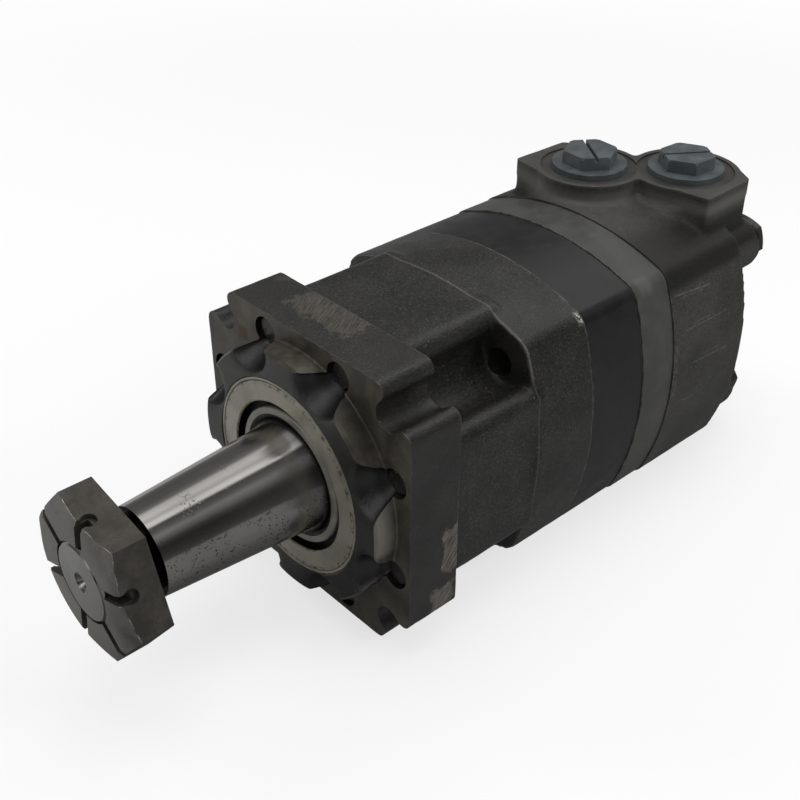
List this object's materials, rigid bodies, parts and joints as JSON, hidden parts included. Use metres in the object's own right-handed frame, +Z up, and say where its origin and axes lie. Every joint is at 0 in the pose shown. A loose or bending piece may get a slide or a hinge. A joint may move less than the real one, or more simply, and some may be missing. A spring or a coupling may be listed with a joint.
{
  "type": "orbital hydraulic motor",
  "caption": "Square-flanged orbital hydraulic motor with a tapered shaft and slotted nut, a round-cornered body in bolted sections and staggered plugged ports on top.",
  "frame": {"origin": "centre of the mounting flange's front face, on the shaft axis", "axes": "+X out along the output shaft, +Z up through the ports, +Y to the left when looking along the shaft from the rear"},
  "size_m": [0.3952, 0.1476, 0.167],
  "materials": {
    "flange_cast": "fine sand cast, dark oxide coat, machined front face",
    "housing_cast": "fine sand cast, dark oxide coat",
    "black_section": "smooth blackened steel",
    "grey_section": "smooth grey cast iron",
    "valve_cast": "fine sand cast, scratched on one side",
    "carrier_steel": "turned face with light rust pits on its rim",
    "seal_metal": "pressed steel",
    "seal_rubber": "moulded black rubber",
    "shaft_steel": "ground steel with light pitting",
    "nut_steel": "dark satin steel with bright worn edges",
    "key_steel": "bright drawn steel",
    "screw_steel": "blackened steel",
    "plug_plastic": "moulded blue-black plastic",
    "bearing_steel": "ground hardened steel",
    "cage_steel": "pressed steel",
    "gear_steel": "ground hardened steel"
  },
  "bodies": {
    "housing": {"mounting_flange": "flange_cast", "flange_screws": "screw_steel", "bearing_housing": "housing_cast", "seal_carrier": "carrier_steel", "carrier_oring": "seal_rubber", "dust_seal_case": "seal_metal", "dust_seal_lip": "seal_rubber", "shaft_seal": "seal_rubber", "seal_backup_washer": "bearing_steel", "front_bearing_cup": "bearing_steel", "rear_bearing_cup": "bearing_steel", "wear_plate": "bearing_steel", "front_section_seal": "seal_rubber", "geroler_ring": "black_section", "rear_section_seal": "seal_rubber", "valve_plate": "grey_section", "valve_plate_seal": "seal_rubber", "valve_housing": "valve_cast", "tie_bolts": "screw_steel", "balance_ring": "gear_steel", "balance_ring_seals": "seal_rubber", "bias_springs": "gear_steel", "port_plug_a": "plug_plastic", "port_plug_b": "plug_plastic", "port_plug_seals": "seal_rubber", "case_drain_plug": "screw_steel"},
    "shaft": {"output_shaft": "shaft_steel", "shaft_nut": "nut_steel", "shaft_key": "key_steel", "front_bearing_cone": "bearing_steel", "rear_bearing_cone": "bearing_steel"},
    "front_roller_set": {"front_bearing_rollers": "bearing_steel", "front_bearing_cage": "cage_steel"},
    "rear_roller_set": {"rear_bearing_rollers": "bearing_steel", "rear_bearing_cage": "cage_steel"},
    "orbit": {"drive_spacer": "gear_steel"},
    "star": {"geroler_star": "gear_steel"},
    "main_drive_link": {"main_drive": "gear_steel"},
    "valve_drive_link": {"valve_drive": "gear_steel"},
    "valve_disc": {"disc_valve": "gear_steel"},
    "roller_1": {"geroler_roller_1": "gear_steel"},
    "roller_2": {"geroler_roller_2": "gear_steel"},
    "roller_3": {"geroler_roller_3": "gear_steel"},
    "roller_4": {"geroler_roller_4": "gear_steel"},
    "roller_5": {"geroler_roller_5": "gear_steel"},
    "roller_6": {"geroler_roller_6": "gear_steel"},
    "roller_7": {"geroler_roller_7": "gear_steel"},
    "roller_8": {"geroler_roller_8": "gear_steel"},
    "roller_9": {"geroler_roller_9": "gear_steel"}
  },
  "joints": [
    {"name": "shaft_spin", "type": "hinge", "parent": "housing", "child": "shaft", "pos_m": [0, 0, 0], "axis": [1, 0, 0], "continuous": true},
    {"name": "front_roller_set_spin", "type": "hinge", "parent": "housing", "child": "front_roller_set", "pos_m": [-0.042, 0, 0], "axis": [1, 0, 0], "continuous": true},
    {"name": "rear_roller_set_spin", "type": "hinge", "parent": "housing", "child": "rear_roller_set", "pos_m": [-0.103, 0, 0], "axis": [1, 0, 0], "continuous": true},
    {"name": "star_orbit", "type": "hinge", "parent": "housing", "child": "orbit", "pos_m": [-0.139, 0, 0], "axis": [1, 0, 0], "continuous": true},
    {"name": "star_turn", "type": "hinge", "parent": "orbit", "child": "star", "pos_m": [-0.13775, 0.003, 0], "axis": [1, 0, 0], "continuous": true},
    {"name": "main_drive_turn", "type": "hinge", "parent": "orbit", "child": "main_drive_link", "pos_m": [-0.078, 0, 0], "axis": [0.9983, -0.0576, 0], "continuous": true},
    {"name": "valve_drive_turn", "type": "hinge", "parent": "orbit", "child": "valve_drive_link", "pos_m": [-0.19, 0, 0], "axis": [0.9975, 0.0704, 0], "continuous": true},
    {"name": "valve_disc_spin", "type": "hinge", "parent": "housing", "child": "valve_disc", "pos_m": [-0.19, 0, 0], "axis": [1, 0, 0], "continuous": true},
    {"name": "roller_1_spin", "type": "hinge", "parent": "housing", "child": "roller_1", "pos_m": [-0.13775, 0.046, 0], "axis": [1, 0, 0], "continuous": true},
    {"name": "roller_2_spin", "type": "hinge", "parent": "housing", "child": "roller_2", "pos_m": [-0.13775, 0.03524, 0.02957], "axis": [1, 0, 0], "continuous": true},
    {"name": "roller_3_spin", "type": "hinge", "parent": "housing", "child": "roller_3", "pos_m": [-0.13775, 0.00799, 0.0453], "axis": [1, 0, 0], "continuous": true},
    {"name": "roller_4_spin", "type": "hinge", "parent": "housing", "child": "roller_4", "pos_m": [-0.13775, -0.023, 0.03984], "axis": [1, 0, 0], "continuous": true},
    {"name": "roller_5_spin", "type": "hinge", "parent": "housing", "child": "roller_5", "pos_m": [-0.13775, -0.04323, 0.01573], "axis": [1, 0, 0], "continuous": true},
    {"name": "roller_6_spin", "type": "hinge", "parent": "housing", "child": "roller_6", "pos_m": [-0.13775, -0.04323, -0.01573], "axis": [1, 0, 0], "continuous": true},
    {"name": "roller_7_spin", "type": "hinge", "parent": "housing", "child": "roller_7", "pos_m": [-0.13775, -0.023, -0.03984], "axis": [1, 0, 0], "continuous": true},
    {"name": "roller_8_spin", "type": "hinge", "parent": "housing", "child": "roller_8", "pos_m": [-0.13775, 0.00799, -0.0453], "axis": [1, 0, 0], "continuous": true},
    {"name": "roller_9_spin", "type": "hinge", "parent": "housing", "child": "roller_9", "pos_m": [-0.13775, 0.03524, -0.02957], "axis": [1, 0, 0], "continuous": true}
  ],
  "couplings": [
    {"joint": "front_roller_set_spin", "follows": "shaft_spin", "ratio": 0.448},
    {"joint": "rear_roller_set_spin", "follows": "shaft_spin", "ratio": 0.4526},
    {"joint": "star_orbit", "follows": "shaft_spin", "ratio": -8},
    {"joint": "star_turn", "follows": "shaft_spin", "ratio": 9},
    {"joint": "main_drive_turn", "follows": "shaft_spin", "ratio": 9},
    {"joint": "valve_drive_turn", "follows": "shaft_spin", "ratio": 9},
    {"joint": "valve_disc_spin", "follows": "shaft_spin", "ratio": 1},
    {"joint": "roller_1_spin", "follows": "shaft_spin", "ratio": -4.75},
    {"joint": "roller_2_spin", "follows": "shaft_spin", "ratio": -4.75},
    {"joint": "roller_3_spin", "follows": "shaft_spin", "ratio": -4.75},
    {"joint": "roller_4_spin", "follows": "shaft_spin", "ratio": -4.75},
    {"joint": "roller_5_spin", "follows": "shaft_spin", "ratio": -4.75},
    {"joint": "roller_6_spin", "follows": "shaft_spin", "ratio": -4.75},
    {"joint": "roller_7_spin", "follows": "shaft_spin", "ratio": -4.75},
    {"joint": "roller_8_spin", "follows": "shaft_spin", "ratio": -4.75},
    {"joint": "roller_9_spin", "follows": "shaft_spin", "ratio": -4.75}
  ]
}
